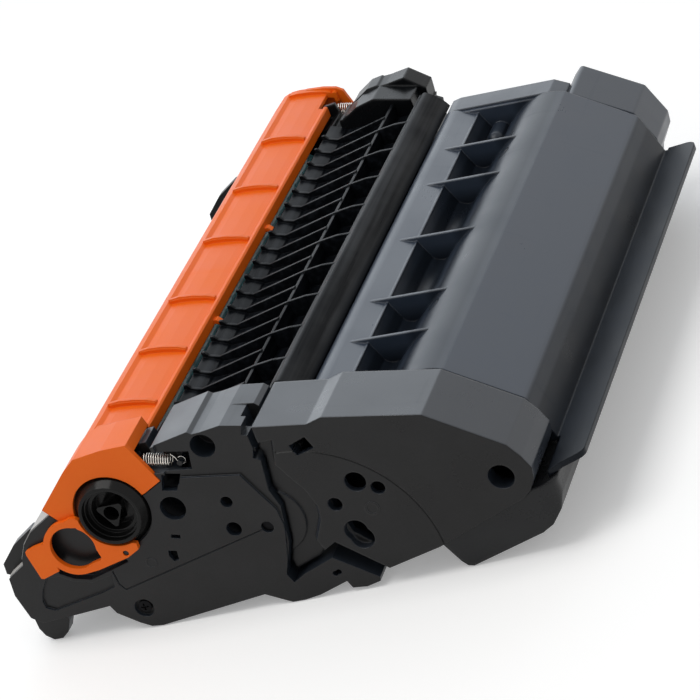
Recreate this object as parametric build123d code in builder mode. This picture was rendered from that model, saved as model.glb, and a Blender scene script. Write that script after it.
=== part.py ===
from build123d import *
import os

os.makedirs("parts", exist_ok=True)

# A toner cartridge lying as it stands on a table.
# X runs from the drum side to the hopper side, Y from the coupling end to the far end, Z is up.
# The origin is at the middle of the cartridge, on the table. All sizes are in millimetres.

# Stations along the length
shell_near = -125.0
shell_length = 242.0
shell_far = shell_near + shell_length
near_face = -160.0
far_face = shell_far + 40.0
tray_depth = 28.0
tray_near = near_face + tray_depth
tray_far = far_face - 25.0
cap_far_end = shell_far + 29.0
cap_far_low_end = shell_far + 13.0
ear = 6.0
ear_gap = 1.0

# Walls and clearances
wall = 2.2
skin = 2.4
face_wall = 3.0
running = 0.05
roller_gap = 0.35
side_gap = 0.3
film = 0.4

# Drum and rollers
drum_x = -64.5
drum_z = 55.1
drum_radius = 15.0
drum_wall = 1.0
drum_tube_near = shell_near + 1.0
drum_tube_far = shell_far + 7.0
coupling_radius = 11.6
collar_rim = coupling_radius + 1.4
collar_radius = coupling_radius + 2.6
collar_flare = collar_radius + 1.9
collar_front = near_face - 3.2
bracket_seat = 2.0
developer_radius = 9.5
developer_rise = 0.0884
developer_reach = drum_radius + developer_radius + roller_gap
developer_x = drum_x + developer_reach * (1 - developer_rise ** 2) ** 0.5
developer_z = drum_z + developer_reach * developer_rise
developer_journal = 4.0
bush_radius = 6.5
charge_radius = 5.9
charge_drop = 0.8203
charge_reach = drum_radius + charge_radius + roller_gap
charge_x = drum_x - charge_reach * (1 - charge_drop ** 2) ** 0.5
charge_z = drum_z - charge_reach * charge_drop
charge_journal = 3.0
pivot_x = -3.7
pivot_z = 35.4
pivot_radius = 2.6
agitator_x = 78.0
agitator_z = 36.0
agitator_radius = 3.0
agitator_reach = 21.0
drum_pin_radius = 4.0

# Hopper outline in X and Z
parting_z = 30.0
hopper_left = 16.0
hump = [(hopper_left, 66.2), (18.05, 71.15), (24.9, 72.94)]
hump_lip = (34.6, 69.9)
channel_floor_z = 59.6
channel = [(38.2, 61.8), (41.8, channel_floor_z), (46.4, 61.6)]
flank = [(54.4, 67.7), (64.0, 71.6), (75.5, 70.3)]
roof = [flank[-1], (103.5, 50.8), (110.5, parting_z)]
roof_round = 5.0
bulge = [(61.5, 12.6), (66.6, 3.0), (68.6, 0.6), (71.0, 0.0), (103.0, 9.0), (108.2, 11.8), (112.6, 16.5),
         (114.2, 22.0), (114.2, 29.0)]
bulge_round = 7.0
hopper_keel = (38.4, 7.4)
hopper_heel = (20.8, 23.3)
flange_root_x = roof[2][0] - 1.5
flange_tip_x = 124.5
flange_tip_z = 32.6
flange_root_z = 29.0
flange_thickness = 2.5
flange_near = shell_near - 17.0
flange_corner = 5.0
flange_over = 2.0

# Gussets across the channel
gusset_shares = (0.15, 0.285, 0.5, 0.706, 0.845)
gusset_thickness = 1.6
gusset_left = (26.7, 72.3)
gusset_right = (61.5, 70.9)
gusset = [gusset_left, gusset_right, (channel[2][0] + 2, channel[2][1] - 2), (channel[1][0], channel_floor_z - 2),
          (channel[0][0] - 2, channel[0][1] - 1), (hump_lip[0], hump_lip[1] - 3)]

# Rib guide between the drum and the hopper
rail_near = tray_near + 5.0
rail_left = -42.5
rail_floor_z = 68.4
rail_floor = 1.4
rib_count = 19
rib_first = rail_near + 11.0
rib_last = tray_far - 14.0
rib_pitch = (rib_last - rib_first) / (rib_count - 1)
rib_thickness = 1.4
web_x = -10.2
rib_valley = (-35.5, 72.1)
rib_top = [(rail_left, 75.4), (rail_left + 1.3, 75.4), (-39.6, 73.4), rib_valley, (web_x, 77.5)]
rib_long = [(-1.5, 78.5), (5.0, 78.2)]
bar_top = [(5.0, 78.2), (6.4, 78.8), (8.2, 78.2), (12.7, 74.6), (16.1, 69.8)]
bar_inner = [(14.6, 69.2), (12.6, 72.0), (10.2, 74.2), (7.4, 76.2), (6.4, 76.4)]
bar_near = rail_near + 4.0

# Small fittings
cap_gap_x = 111.2
seam = 0.7
seam_depth = 1.0
cap_round = 2.0
passage_low = 36.0
passage_high = 43.0
cap_tall_left = roof[0][0] - 3.5
plug_x = cap_tall_left + 15.0
plug_z = 43.0
plug_radius = 8.0
cap_step = 5.0
locating_x = 96.5
locating_z = 38.0
locating_radius = 5.3
locating_length = 8.0
cap_holes = ((38.9, 47.8, 4.4), (46.9, 43.4, 2.95), (27.2, 39.7, 3.0), (31.2, 26.4, 4.9), (32.6, 22.9, 4.9))
cap_boss_x = 41.3
cap_boss_z = 35.1
cap_boss_radius = 3.0
plate_holes = ((-16.3, 75.4, 5.2), (-38.8, 51.5, 5.4), (-15.9, 49.8, 2.5), (-17.6, 37.3, 3.2))
dish_step = 2.5
dish_depth = 7.0
dog_radius = 7.4
dog_down = 0.5
dog_twist = 20.0
coupling_bore = 3.2
bore_depth = 10.0
dev_wall_left = (-20.0, 64.8)
dev_wall_right = (hopper_left, 62.6)
dev_wall_slope = (dev_wall_right[1] - dev_wall_left[1]) / (dev_wall_right[0] - dev_wall_left[0])
drum_pin_out = 6.0
drum_pin_stub = 3.5

# Spring between the halves
spring_y = near_face + 5.0
spring_far_y = far_face - 5.0
spring_radius = 2.6
spring_left = (-47.8, 73.6)
spring_right = (-29.2, 69.3)
spring_post = 1.2
spring_slot_depth = 9.0

# Pull ring in its pocket
ring_front = near_face - 2.4
ring_thickness = 2.2
ring_x = -86.3
ring_z = 43.5
ring_outer = 12.5
ring_inner = 9.7
ring_peg_x = -65.2
ring_peg_z = 36.9
ring_peg = 1.1
pocket_depth = 3.6

# Side screws
screw_x = -69.2
screw_z = 9.4
screw_radius = 3.0


def between(start, end, share):
    """The point at a share of the way from one point to another."""
    return (start[0] + share * (end[0] - start[0]), start[1] + share * (end[1] - start[1]))


def outline_block(outline, y_from, y_to, mode=Mode.ADD, shrink=0.0, round_to=0.0):
    """A block with an outline in X and Z, between two stations along the length."""
    with BuildSketch(Plane.XZ.offset(-y_from)) as face:
        with BuildLine():
            Polyline(*outline, close=True)
        make_face()
        if shrink:
            offset(amount=-shrink, kind=Kind.INTERSECTION, mode=Mode.REPLACE)
        if round_to:
            fillet(face.vertices(), round_to)
    extrude(face.sketch, amount=-(y_to - y_from), mode=mode)


def round_bar(x, z, radius, y_from, y_to, mode=Mode.ADD):
    """A round bar, or hole, that runs along the length."""
    with BuildSketch(Plane.XZ.offset(-y_from)) as face:
        with Locations((x, z)):
            Circle(radius)
    extrude(face.sketch, amount=-(y_to - y_from), mode=mode)


def tube(x, z, outer, inner, y_from, y_to, mode=Mode.ADD):
    """A round tube that runs along the length."""
    with BuildSketch(Plane.XZ.offset(-y_from)) as face:
        with Locations((x, z)):
            Circle(outer)
            Circle(inner, mode=Mode.SUBTRACT)
    extrude(face.sketch, amount=-(y_to - y_from), mode=mode)


def arcs(points):
    """Arcs, each through three points, one after the other."""
    for start, middle, end in zip(points[::2], points[1::2], points[2::2]):
        ThreePointArc(start, middle, end)


def curved_block(curve, rest, y_from, y_to, mode=Mode.ADD):
    """A block whose outline is a run of arcs closed by straight lines."""
    with BuildSketch(Plane.XZ.offset(-y_from)) as face:
        with BuildLine():
            arcs(curve)
            Polyline(curve[-1], *rest, curve[0])
        make_face()
    extrude(face.sketch, amount=-(y_to - y_from), mode=mode)


def cone_bar(x, z, radius_from, radius_to, y_from, y_to, mode=Mode.ADD):
    """A round bar, or hole, that widens or narrows along the length."""
    with BuildSketch(Plane.XZ.offset(-y_from)) as start:
        with Locations((x, z)):
            Circle(radius_from)
    with BuildSketch(Plane.XZ.offset(-y_to)) as end:
        with Locations((x, z)):
            Circle(radius_to)
    loft([start.sketch.face(), end.sketch.face()], mode=mode)


def finish(name, solid, shade):
    """Label a piece and write it."""
    solid.label = name
    solid.color = Color(*shade)
    export_step(solid, "parts/" + name + ".step")


black = (0.10, 0.10, 0.11)
grey = (0.30, 0.31, 0.33)
orange = (0.95, 0.40, 0.20)
steel = (0.75, 0.75, 0.76)

# Grip flange along the lower edge of the bevel
with BuildPart() as flange:
    outline_block(
        [(flange_root_x, flange_root_z), (flange_tip_x, flange_tip_z - flange_thickness),
         (flange_tip_x, flange_tip_z), (flange_root_x, flange_root_z + flange_thickness)],
        flange_near - 8.8, shell_far + flange_over)
    with BuildSketch(Plane.XY.offset(flange_root_z - 5)) as flange_plan:
        with BuildLine():
            Polyline((flange_root_x - 1, shell_near), (cap_gap_x, shell_near), (cap_gap_x, flange_near - 8.8),
                     (flange_tip_x - 8.7, flange_near - 4.1), (flange_tip_x, flange_near + 0.5),
                     (flange_tip_x, shell_far + flange_over), (cap_gap_x, shell_far + flange_over),
                     (cap_gap_x, shell_far), (flange_root_x - 1, shell_far), close=True)
        make_face()
        fillet(flange_plan.vertices().group_by(Axis.X)[-1], flange_corner)
    extrude(amount=20, mode=Mode.INTERSECT)

# Toner hopper, upper moulding
shell_outline = [(hopper_left, parting_z)] + hump + [hump_lip] + channel + flank + roof[1:]
with BuildPart() as hopper_shell:
    with BuildSketch(Plane.XZ.offset(-shell_near)) as shell_face:
        with BuildLine():
            Line((hopper_left, parting_z), hump[0])
            arcs(hump)
            Polyline(hump[-1], hump_lip, channel[0])
            arcs(channel)
            Line(channel[-1], flank[0])
            arcs(flank)
            Polyline(*roof, (hopper_left, parting_z))
        make_face()
        fillet(shell_face.vertices().sort_by_distance(Vector(roof[1][0], roof[1][1], 0))[0], roof_round)
    extrude(shell_face.sketch, amount=-shell_length)
    outline_block(shell_outline, shell_near + wall, shell_far - wall, Mode.SUBTRACT, shrink=wall)
    # Open towards the lower moulding
    outline_block([(hopper_left + wall, parting_z - 1), (roof[2][0] - wall - 0.8, parting_z - 1),
                   (roof[2][0] - wall - 0.8, parting_z + wall + 1), (hopper_left + wall, parting_z + wall + 1)],
                  shell_near + wall, shell_far - wall, Mode.SUBTRACT)
    # Bead along the lip of the channel
    round_bar(hump_lip[0] - 0.5, hump_lip[1] + 0.1, 0.6, shell_near, shell_far)
    # Rounded end of the channel floor
    round_bar(channel[1][0], channel_floor_z, 4.5, shell_far - 12, shell_far - 1)
    with Locations((channel[1][0], shell_far - 12, channel_floor_z)):
        Sphere(4.5)
    # Passage to the developing section
    outline_block(
        [(hopper_left - 1, passage_low), (hopper_left + 2 * wall, passage_low),
         (hopper_left + 2 * wall, passage_high), (hopper_left - 1, passage_high)],
        shell_near + 12, shell_far - 12, Mode.SUBTRACT)
    # Gussets
    for share in gusset_shares:
        station = shell_near + share * shell_length
        outline_block(gusset, station - gusset_thickness / 2, station + gusset_thickness / 2)
    # Ends of the channel
    for y_from in (shell_near, shell_far - wall):
        outline_block(gusset, y_from, y_from + wall)
    # Bearings of the agitator
    round_bar(agitator_x, agitator_z, agitator_radius + 2, shell_far - wall - 5, shell_far - wall)
    round_bar(agitator_x, agitator_z, agitator_radius + running, shell_far - wall - 6, shell_far - wall, Mode.SUBTRACT)
    round_bar(agitator_x, agitator_z, agitator_radius + running, shell_near - 1, shell_near + 2 * wall, Mode.SUBTRACT)
    # Hole for the filling plug
    round_bar(plug_x, plug_z, plug_radius, shell_far - 2 * wall, shell_far + 1, Mode.SUBTRACT)
    add(flange.part)
finish("hopper_shell", hopper_shell.part, grey)

# Toner hopper, lower moulding, with the bulge and the developing section
cap_corner_low = (101.6, 26.8)
cap_corner_side = (105.5, 29.6)
cap_corner_rise = (flange_root_z - cap_corner_low[1]) / (cap_corner_side[1] - cap_corner_low[1])
bulge_under_cap = bulge + [between(cap_corner_low, cap_corner_side, cap_corner_rise), cap_corner_low]
base_outline = [(hopper_left, parting_z), (hopper_left, 27.0), hopper_heel, hopper_keel]
base_outline += bulge + [(flange_root_x, flange_root_z), (flange_root_x, parting_z)]
ear_outline = [(hopper_left, 62.0), (-30.0, developer_z + 9.0), (developer_x - 4.3, developer_z + 9.0),
               (developer_x - 8.8, developer_z + 4.7), (developer_x - 8.8, developer_z - 7.3),
               (developer_x - 2.3, developer_z - 12.3), (pivot_x - 8.3, pivot_z + 0.6),
               (pivot_x - 6.8, pivot_z - 5.9), (pivot_x - 1.3, pivot_z - 8.9),
               (pivot_x + 7.7, pivot_z - 8.4), (hopper_left, pivot_z - 6.4)]
trough = [(hopper_left, 27.0), (-18.0, 37.8), (developer_x + 6.7, developer_z - 15.5),
          (developer_x - 6.8, developer_z - 12.3), (developer_x - 6.8, developer_z - 10.9),
          (developer_x + 6.7, developer_z - 12.7), (-18.0, 41.0), (hopper_left, 31.0)]
with BuildPart() as bulge_front:
    outline_block(bulge_under_cap, near_face + 3, shell_near)
    with BuildSketch() as bulge_plan:
        with BuildLine():
            Polyline((bulge[0][0] - 1, shell_near), (bulge[0][0] - 1, near_face + 3), (bulge[-1][0], near_face + 3),
                     (bulge[-1][0], shell_near), close=True)
        make_face()
        fillet(bulge_plan.vertices().sort_by_distance(Vector(bulge[-1][0], near_face + 3, 0))[0], bulge_round)
    extrude(amount=cap_corner_side[1] + 5, mode=Mode.INTERSECT)
with BuildPart() as hopper_base:
    outline_block(base_outline, shell_near, shell_far)
    outline_block(base_outline, shell_near + wall, shell_far - wall, Mode.SUBTRACT, shrink=wall)
    outline_block(
        [(hopper_left + wall, parting_z - 2 * wall), (flange_root_x - 2, parting_z - 2 * wall),
         (flange_root_x - 2, parting_z + 1), (hopper_left + wall, parting_z + 1)],
        shell_near + wall, shell_far - wall, Mode.SUBTRACT)
    # The bulge runs on under the near cap
    add(bulge_front.part)
    # Trough under the developing roller, and the wall above it
    outline_block(trough, shell_near, shell_far)
    outline_block(
        [dev_wall_right, dev_wall_left, (dev_wall_left[0], dev_wall_left[1] - 2.4),
         (hopper_left, dev_wall_right[1] - 3)],
        shell_near, shell_far)
    # End ears that carry the rollers and the pivots
    outline_block(ear_outline, shell_near - ear, shell_near)
    outline_block(ear_outline, shell_far, shell_far + ear)
    for y_from in (shell_near - ear - 1, shell_far - 1):
        round_bar(developer_x, developer_z, bush_radius, y_from, y_from + ear + 2, Mode.SUBTRACT)
        round_bar(pivot_x, pivot_z, pivot_radius + running, y_from, y_from + ear + 2, Mode.SUBTRACT)
finish("hopper_base", hopper_base.part, black)

with BuildPart() as fill_plug:
    round_bar(plug_x, plug_z, plug_radius - running, shell_far - wall, shell_far)
    round_bar(plug_x, plug_z, plug_radius + 2.5, shell_far, shell_far + 1.6)
    round_bar(plug_x, plug_z, plug_radius - wall, shell_far - 0.4, shell_far + 2, Mode.SUBTRACT)
finish("fill_plug", fill_plug.part, grey)

# End cap at the coupling end
cap_top = [(7.0, 79.8), (29.1, 76.4), (35.9, 78.2), (75.2, 70.9), (103.2, 51.2), (107.2, 45.2), (109.6, 39.6),
           (108.8, 34.6), cap_corner_side, cap_corner_low, bulge[0], hopper_keel]
cap_face = cap_top + [hopper_heel, (15.5, 20.6), (14.0, 25.6), (19.0, 34.1), (20.0, 40.0), (17.7, 48.5),
                      (13.8, 54.9), (10.1, 61.8), (13.1, 72.7), (7.0, 72.7)]
cap_foot = cap_top + [(20.0, 22.6), (13.6, 18.4), (11.6, 24.8), (16.4, 33.4), (17.4, 39.6), (15.2, 47.2),
                      (11.6, 53.0), (8.2, 60.8), (10.6, 71.6), (6.6, 72.0)]
cap_back = cap_top + [hopper_heel, (15.5, 20.6), (10.5, 15.9), (3.0, 13.4), (-1.5, 11.9), (-1.8, 16.6), (2.4, 25.8),
                      (5.4, 42.8), (3.4, 50.8), (5.4, 63.6), (4.3, 68.8), (6.6, 72.7), (7.0, 72.7)]
cap_void_top = [(26.0, 68.4), (62.0, 68.4), (74.4, 67.6), (101.2, 49.6), (104.9, 44.0), (106.8, 39.2),
                (106.2, 35.6), (104.0, 31.6), (100.8, 29.4), (60.2, 16.4)]
cap_void = [(9.5, 67.0)] + cap_void_top + [(40.2, 10.6), (22.4, 26.0), (9.5, 30.0)]
cap_front_void = [(22.0, 67.0)] + cap_void_top + [(41.2, 11.6), (28.0, 24.0), (24.5, 40.0), (17.0, 56.0)]
pivot_disc = 14.8
with BuildPart() as hopper_cap_near:
    outline_block(cap_back, near_face + cap_step, shell_near - seam)
    outline_block(cap_back, shell_near - 2 * seam, shell_near, shrink=seam_depth)
    with BuildSketch(Plane.XZ.offset(-near_face)) as front_face:
        with BuildLine():
            Polyline(*cap_face, close=True)
        make_face()
    with BuildSketch(Plane.XZ.offset(-near_face - cap_step)) as foot_face:
        with BuildLine():
            Polyline(*cap_foot, close=True)
        make_face()
    loft([front_face.sketch.face(), foot_face.sketch.face()], ruled=True)
    # Raised disc round the pivot
    with BuildSketch(Plane.XZ.offset(-near_face - cap_step + 1)) as disc:
        with BuildLine():
            Polyline(*cap_back, close=True)
        make_face()
        with Locations((pivot_x, pivot_z)):
            Circle(pivot_disc, mode=Mode.INTERSECT)
    extrude(disc.sketch, amount=-2)
    outline_block(cap_void, near_face + cap_step + face_wall, shell_near, Mode.SUBTRACT)
    outline_block(cap_front_void, near_face + face_wall, near_face + cap_step + face_wall, Mode.SUBTRACT)
    outline_block([(-5.0, 15.0), (hopper_left, 15.0), (hopper_left, 73.0), (-5.0, 73.0)],
                  shell_near - ear, shell_near, Mode.SUBTRACT)
    for x, z, radius in cap_holes:
        round_bar(x, z, radius, near_face - 1, near_face + face_wall + 1, Mode.SUBTRACT)
    tube(locating_x, locating_z, locating_radius + 2, locating_radius, near_face, near_face + locating_length)
    round_bar(locating_x, locating_z, locating_radius, near_face - 1, near_face + locating_length, Mode.SUBTRACT)
    tube(cap_boss_x, cap_boss_z, cap_boss_radius, cap_boss_radius - 0.8, near_face - 0.3, near_face + 1)
    with BuildSketch(Plane.XZ.offset(-near_face + 1)) as window:
        with BuildLine():
            Polyline((18.5, 68.8), (26.3, 71.3), (28.4, 65.8), (20.3, 63.8), close=True)
        make_face()
    extrude(window.sketch, amount=-face_wall - 5, mode=Mode.SUBTRACT)
finish("hopper_cap_near", hopper_cap_near.part, black)

# End cap at the far end: a low part and a tall part
cap_low = [(hopper_left, 68.0), (19.2, 72.4), (23.0, 73.2), (cap_tall_left - 4, 71.6), (cap_tall_left + 2.4, 68.0),
           (cap_tall_left + 2.4, 10.0), (bulge[0][0], bulge[0][1]), hopper_keel, hopper_heel, (hopper_left, 27.0)]
cap_tall = [(cap_tall_left, 64.4), (roof[0][0] + 1.2, 68.6), (roof[1][0] - 1.7, 52.2),
            (roof[2][0] - 2.6, 37.5), (roof[2][0] - 3.2, 32.0), (101.0, 22.5), (98.0, 14.0), (cap_tall_left, 8.0)]
with BuildPart() as hopper_cap_far:
    outline_block(cap_low, shell_far, cap_far_low_end)
    outline_block(cap_low, shell_far, cap_far_low_end - skin, Mode.SUBTRACT, shrink=skin)
    outline_block(cap_tall, shell_far, shell_far + 2 * seam, shrink=seam_depth)
    outline_block(cap_tall, shell_far + seam, cap_far_end, round_to=cap_round)
    outline_block(cap_tall, shell_far, cap_far_end - skin, Mode.SUBTRACT, shrink=skin)
finish("hopper_cap_far", hopper_cap_far.part, grey)

# Agitator
with BuildPart() as agitator_shaft:
    round_bar(agitator_x, agitator_z, agitator_radius, shell_near - 10, shell_far - wall - side_gap)
finish("agitator_shaft", agitator_shaft.part, black)
with BuildPart() as agitator_sheet:
    outline_block(
        [(agitator_x + 1, agitator_z + agitator_radius - 0.2), (agitator_x + 2, agitator_z + agitator_radius - 0.4),
         (agitator_x + 1.6, agitator_z + agitator_reach), (agitator_x + 1, agitator_z + agitator_reach)],
        shell_near + 10, shell_far - 10)
    round_bar(agitator_x, agitator_z, agitator_radius, shell_near, shell_far, Mode.SUBTRACT)
finish("agitator_sheet", agitator_sheet.part, (0.8, 0.75, 0.5))

# Developing roller
roller_near = shell_near + 4
roller_far = shell_far - 4
with BuildPart() as developer_sleeve:
    tube(developer_x, developer_z, developer_radius, developer_journal, roller_near, roller_far)
    fillet(developer_sleeve.edges().filter_by(GeomType.CIRCLE).group_by(SortBy.RADIUS)[-1], 0.6)
finish("developer_sleeve", developer_sleeve.part, (0.2, 0.2, 0.2))
with BuildPart() as developer_shaft:
    round_bar(developer_x, developer_z, developer_journal, shell_near - ear - 4, shell_far + ear)
finish("developer_shaft", developer_shaft.part, steel)
with BuildPart() as developer_bush_near:
    tube(developer_x, developer_z, bush_radius, developer_journal + running, shell_near - ear, shell_near)
    tube(developer_x, developer_z, bush_radius + 1.2, developer_journal + running, shell_near, shell_near + 2)
finish("developer_bush_near", developer_bush_near.part, (0.9, 0.9, 0.85))
with BuildPart() as developer_bush_far:
    tube(developer_x, developer_z, bush_radius, developer_journal + running, shell_far, shell_far + ear)
    tube(developer_x, developer_z, bush_radius + 1.2, developer_journal + running, shell_far - 2, shell_far)
finish("developer_bush_far", developer_bush_far.part, (0.9, 0.9, 0.85))
doctor_seat_x = dev_wall_left[0] - 4
with BuildPart() as doctor_bracket:
    outline_block([(doctor_seat_x, dev_wall_left[1] + 0.25), dev_wall_left,
                   (dev_wall_left[0] + 12, dev_wall_left[1] + 12 * dev_wall_slope),
                   (dev_wall_left[0] + 12, dev_wall_left[1] + 0.5), (doctor_seat_x, dev_wall_left[1] + 1.4)],
                  roller_near, roller_far)
finish("doctor_bracket", doctor_bracket.part, steel)
with BuildPart() as doctor_blade:
    outline_block([(developer_x + 7.3, developer_z + 6.45), (doctor_seat_x, dev_wall_left[1] + 0.2),
                   (doctor_seat_x, dev_wall_left[1] + 1.4), (developer_x + 7.7, developer_z + 7.9)],
                  roller_near, roller_far)
finish("doctor_blade", doctor_blade.part, (0.25, 0.25, 0.25))

# Outline of the tail of the pull ring, which the collar clears
ring_back = ring_front + ring_thickness
ring_tail = [(-86.0, 55.8), (-82.5, 57.0), (-80.1, 56.5), (-78.3, 54.5), (-75.8, 48.7), (-74.3, 45.8),
             (-69.9, 42.8), (-63.4, 42.0), (-59.0, 40.5), (-59.2, 37.6), (-65.0, 34.8), (-79.5, 31.6), (-85.8, 31.0)]

# Drum
coupling_face = near_face - 1.5
with BuildPart() as opc_drum:
    tube(drum_x, drum_z, drum_radius, drum_radius - drum_wall, drum_tube_near, drum_tube_far)
finish("opc_drum", opc_drum.part, (0.35, 0.6, 0.65))
with BuildPart() as drum_coupling:
    round_bar(drum_x, drum_z, drum_radius - drum_wall, shell_near - ear, drum_tube_near + 10)
    round_bar(drum_x, drum_z, coupling_radius, coupling_face, shell_near - ear)
    # Stepped dish
    dish_ledge = coupling_face + dish_step
    dish_floor = coupling_face + dish_depth
    cone_bar(drum_x, drum_z, coupling_radius - 0.9, coupling_radius - 1.3, coupling_face, dish_ledge, Mode.SUBTRACT)
    cone_bar(drum_x, drum_z, coupling_radius - 2.7, coupling_radius - 3.1, dish_ledge, dish_floor, Mode.SUBTRACT)
    # Twisted three-sided driving dog with a round hole
    with BuildSketch(Plane.XZ.offset(-coupling_face - dog_down)) as dog_top:
        with Locations((drum_x, drum_z)):
            RegularPolygon(dog_radius, 3, rotation=30)
            fillet(dog_top.vertices(), 1.2)
    with BuildSketch(Plane.XZ.offset(-dish_floor)) as dog_foot:
        with Locations((drum_x, drum_z)):
            RegularPolygon(dog_radius, 3, rotation=30 + dog_twist)
            fillet(dog_foot.vertices(), 1.2)
    loft([dog_top.sketch.face(), dog_foot.sketch.face()], ruled=True)
    bore_end = coupling_face + dog_down + bore_depth
    round_bar(drum_x, drum_z, coupling_bore, coupling_face, bore_end, Mode.SUBTRACT)
finish("drum_coupling", drum_coupling.part, black)
with BuildPart() as drum_flange_far:
    round_bar(drum_x, drum_z, drum_radius - drum_wall, drum_tube_far - 10, drum_tube_far + 8)
    round_bar(drum_x, drum_z, drum_pin_radius + running, drum_tube_far - 11, drum_tube_far + 9, Mode.SUBTRACT)
finish("drum_flange_far", drum_flange_far.part, black)

# Charge roller
charge_near = shell_near + 7.0
charge_far = shell_far + 1.0
with BuildPart() as charge_roller:
    tube(charge_x, charge_z, charge_radius, charge_journal, charge_near, charge_far)
finish("charge_roller", charge_roller.part, (0.15, 0.15, 0.15))
with BuildPart() as charge_shaft:
    round_bar(charge_x, charge_z, charge_journal, charge_near - 12, charge_far + 12)
finish("charge_shaft", charge_shaft.part, steel)

# End plates of the drum half
plate_top = [(-90.5, 59.3), (-83.0, 62.4), (-75.0, 70.5), (-64.5, 73.6), (-53.0, 72.6), (-48.4, 77.6),
             (-43.0, 78.0), (-41.5, 71.0), (-37.6, 71.0), (-37.4, 79.6), (-20.5, 82.7), (-18.9, 81.4),
             (-15.4, 81.5), (-6.2, 82.7), (2.6, 80.8), (1.0, 76.7), (3.4, 76.1), (3.4, 70.0),
             (1.8, 65.9), (4.5, 64.3), (2.5, 50.8), (4.5, 42.8), (1.5, 25.8), (-4.3, 12.6),
             (-2.5, 8.6), (3.0, 11.6), (17.0, 16.5)]
plate_low = [(33.0, 4.2), (32.5, 2.4), (26.4, 1.0), (20.3, 1.6), (19.0, 5.0), (6.0, 1.0),
             (-1.0, 0.0), (-6.5, 0.0), (-11.2, 2.6), (-16.7, 5.7), (-64.5, 0.0), (-69.4, 0.5),
             (-73.8, 3.1), (-81.8, 9.3), (-83.4, 13.1), (-101.5, 11.7), (-115.1, 10.8),
             (-119.4, 14.2), (-121.8, 25.7), (-120.9, 33.9), (-112.3, 38.6), (-111.6, 41.4),
             (-107.7, 48.0), (-102.8, 52.8)]
plate_outline = plate_top + plate_low
plate_void = [(-88.0, 55.2), (-79.0, 61.0), (-73.0, 68.2), (-64.5, 70.8), (-52.0, 68.4), (-44.0, 67.0),
              (-1.0, 67.0), (1.2, 62.8), (0.0, 50.0), (2.0, 42.8), (-1.0, 26.5), (-6.8, 13.2), (-9.0, 6.0),
              (-16.5, 8.4), (-63.5, 2.8), (-68.5, 3.3), (-72.0, 5.4), (-79.8, 11.0), (-81.8, 15.6),
              (-101.0, 14.2), (-114.0, 13.4), (-117.0, 15.8), (-119.3, 26.0), (-118.6, 32.2),
              (-110.2, 36.8), (-109.4, 40.4), (-105.9, 46.3), (-101.6, 50.3)]
ledge = [(-36.0, 61.6), (-31.8, 61.3), (-30.3, 64.0), (-6.0, 60.2), (0.0, 47.9), (2.8, 42.5), (3.2, 34.1),
         (-1.2, 19.7), (8.0, 19.7), (12.0, 84.0), (-36.0, 84.0)]
ledge_depth = 1.2
step_line = [(-75.9, 28.6), (-75.5, 22.1), (-73.4, 18.9), (-6.3, 34.4), (-6.3, 35.1), (-73.2, 19.8),
             (-74.7, 22.5), (-75.1, 28.6)]
plate_slots = ([(-37.5, 67.0), (-30.1, 65.4), (-33.9, 58.8), (-40.0, 60.1)],
               [(-44.9, 38.4), (-44.5, 40.2), (-40.7, 39.2), (-41.1, 37.4)],
               [(-49.1, 30.5), (-48.6, 33.3), (-45.0, 32.4), (-45.6, 28.4), (-48.0, 27.9)])
spring_slot = [(-52.0, 80.6), (-41.0, 80.1), (-36.5, 77.0), (-22.9, 74.4), (-24.6, 66.4), (-40.0, 68.2),
               (-46.0, 69.2), (-52.0, 70.2)]
ring_pocket = [(-98.5, 46.5), (-98.5, 32.0), (-93.0, 28.4), (-86.0, 26.6), (-67.0, 31.6), (-69.0, 40.0),
               (-73.5, 42.4), (-79.0, 50.0), (-81.5, 54.6), (-90.0, 53.4)]
pocket_back = [(-110.0, 42.0), (-109.0, 29.0), (-99.0, 29.0), (-92.0, 25.8), (-84.0, 25.6), (-59.5, 31.6),
               (-55.6, 36.0), (-56.0, 42.0), (-69.4, 46.6), (-72.6, 51.4), (-74.0, 57.0), (-80.0, 60.0),
               (-88.0, 56.9), (-99.0, 52.6), (-105.0, 46.5)]
long_recess = [(-109.0, 25.6), (-111.1, 20.9), (-111.0, 17.4), (-107.5, 15.4), (-84.0, 19.6), (-77.6, 21.4),
               (-76.4, 27.0), (-86.0, 25.2), (-94.0, 27.2), (-99.0, 30.8), (-105.0, 30.8)]
lip_rib = [(-103.0, 51.0), (-106.0, 51.3), (-115.9, 45.5), (-124.0, 37.8), (-124.5, 33.0), (-120.0, 31.0)]
foot_rib = [(-120.5, 16.0), (-120.5, 6.3), (-119.0, 2.5), (-116.0, 0.0), (-112.0, 0.0),
            (-108.5, 2.5), (-106.0, 7.2), (-105.0, 14.0)]


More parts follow.
